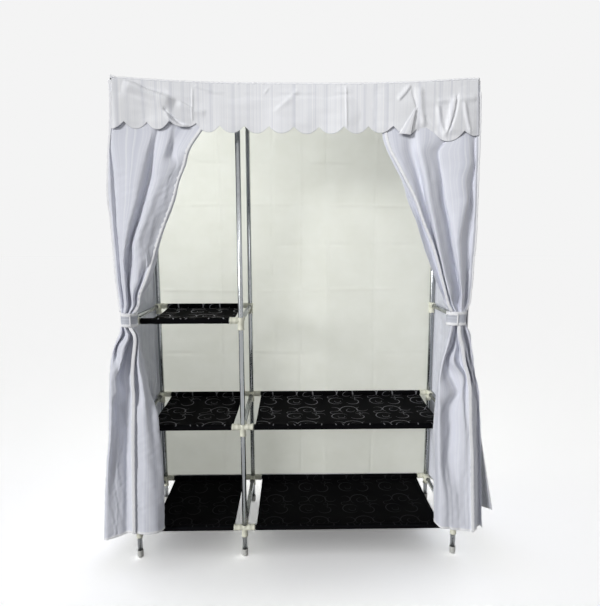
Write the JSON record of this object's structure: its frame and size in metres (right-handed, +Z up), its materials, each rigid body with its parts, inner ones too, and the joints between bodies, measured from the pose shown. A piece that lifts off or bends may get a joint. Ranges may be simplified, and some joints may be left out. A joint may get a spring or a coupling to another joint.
{
  "type": "portable fabric wardrobe",
  "caption": "Free-standing wardrobe of steel tubes in plastic connectors, with cloth shelves, a hanging bay and a sewn fabric cover whose curtains are tied back.",
  "frame": {"origin": "middle of the footprint of the whole object, on the floor", "axes": "+X to the right seen from the open front, +Y to the back, +Z up"},
  "size_m": [1.509, 0.4914, 1.8015],
  "materials": {
    "steel_tube": "bright coated steel tube, smooth, with long dark and light reflections",
    "connector_plastic": "ivory moulded plastic, satin",
    "foot_plastic": "pale grey moulded plastic, satin",
    "shelf_cloth": "black non-woven cloth with thin glossy curls",
    "back_cloth": "cream white non-woven cloth with fold creases",
    "cover_cloth": "pale grey lavender non-woven cloth with fine lengthwise pinstripes",
    "binding_cloth": "white edge binding tape, sewn",
    "tie_cloth": "grey lavender cloth with fine pinstripes"
  },
  "bodies": {
    "wardrobe": {"post_front_left": "steel_tube", "foot_front_left": "foot_plastic", "post_front_mid": "steel_tube", "foot_front_mid": "foot_plastic", "post_front_right": "steel_tube", "foot_front_right": "foot_plastic", "post_back_left": "steel_tube", "foot_back_left": "foot_plastic", "post_back_mid": "steel_tube", "foot_back_mid": "foot_plastic", "post_back_right": "steel_tube", "foot_back_right": "foot_plastic", "tube_l1_front_left": "steel_tube", "tube_l1_back_left": "steel_tube", "tube_l1_front_right": "steel_tube", "tube_l1_back_right": "steel_tube", "tube_l2_front_left": "steel_tube", "tube_l2_back_left": "steel_tube", "tube_l2_front_right": "steel_tube", "tube_l2_back_right": "steel_tube", "tube_l3_front_left": "steel_tube", "tube_l3_back_left": "steel_tube", "tube_l4_front_left": "steel_tube", "tube_l4_back_left": "steel_tube", "tube_l4_front_right": "steel_tube", "tube_l4_back_right": "steel_tube", "rung_l1_left": "connector_plastic", "rung_l1_mid": "connector_plastic", "rung_l1_right": "connector_plastic", "rung_l2_left": "connector_plastic", "rung_l2_mid": "connector_plastic", "rung_l2_right": "connector_plastic", "rung_l3_left": "connector_plastic", "rung_l3_mid": "connector_plastic", "rung_l3_right": "connector_plastic", "rung_l4_left": "connector_plastic", "rung_l4_mid": "connector_plastic", "rung_l4_right": "connector_plastic", "hanging_rail": "steel_tube", "rail_hook_mid": "connector_plastic", "rail_hook_right": "connector_plastic", "shelf_l1_left": "shelf_cloth", "shelf_l1_right": "shelf_cloth", "shelf_l2_left": "shelf_cloth", "shelf_l2_right": "shelf_cloth", "shelf_l3_left": "shelf_cloth", "roof": "cover_cloth", "side_left": "cover_cloth", "side_right": "cover_cloth", "back_panel": "back_cloth"},
    "valance_flap": {"valance": "cover_cloth"},
    "left_curtain": {"curtain_left": "cover_cloth", "tieback_left": "tie_cloth"},
    "right_curtain": {"curtain_right": "cover_cloth", "tieback_right": "tie_cloth"},
    "left_tie_tab": {"tie_tab_left": "tie_cloth"},
    "right_tie_tab": {"tie_tab_right": "tie_cloth"}
  },
  "joints": [
    {"name": "valance_lift", "type": "hinge", "parent": "wardrobe", "child": "valance_flap", "pos_m": [0, -0.1936, 1.8025], "axis": [-1, 0, 0], "range_deg": [0, 250]},
    {"name": "curtain_left_swing", "type": "hinge", "parent": "wardrobe", "child": "left_curtain", "pos_m": [-0.27941, -0.185, 1.782], "axis": [0, -1, 0], "range_deg": [0, 10]},
    {"name": "curtain_right_swing", "type": "hinge", "parent": "wardrobe", "child": "right_curtain", "pos_m": [0.22259, -0.185, 1.782], "axis": [0, 1, 0], "range_deg": [0, 10]},
    {"name": "tie_tab_left_open", "type": "hinge", "parent": "left_curtain", "child": "left_tie_tab", "pos_m": [-0.64561, -0.2103, 0.962], "axis": [0, 0, -1], "range_deg": [0, 110]},
    {"name": "tie_tab_right_open", "type": "hinge", "parent": "right_curtain", "child": "right_tie_tab", "pos_m": [0.53839, -0.2103, 0.962], "axis": [0, 0, -1], "range_deg": [0, 110]}
  ]
}
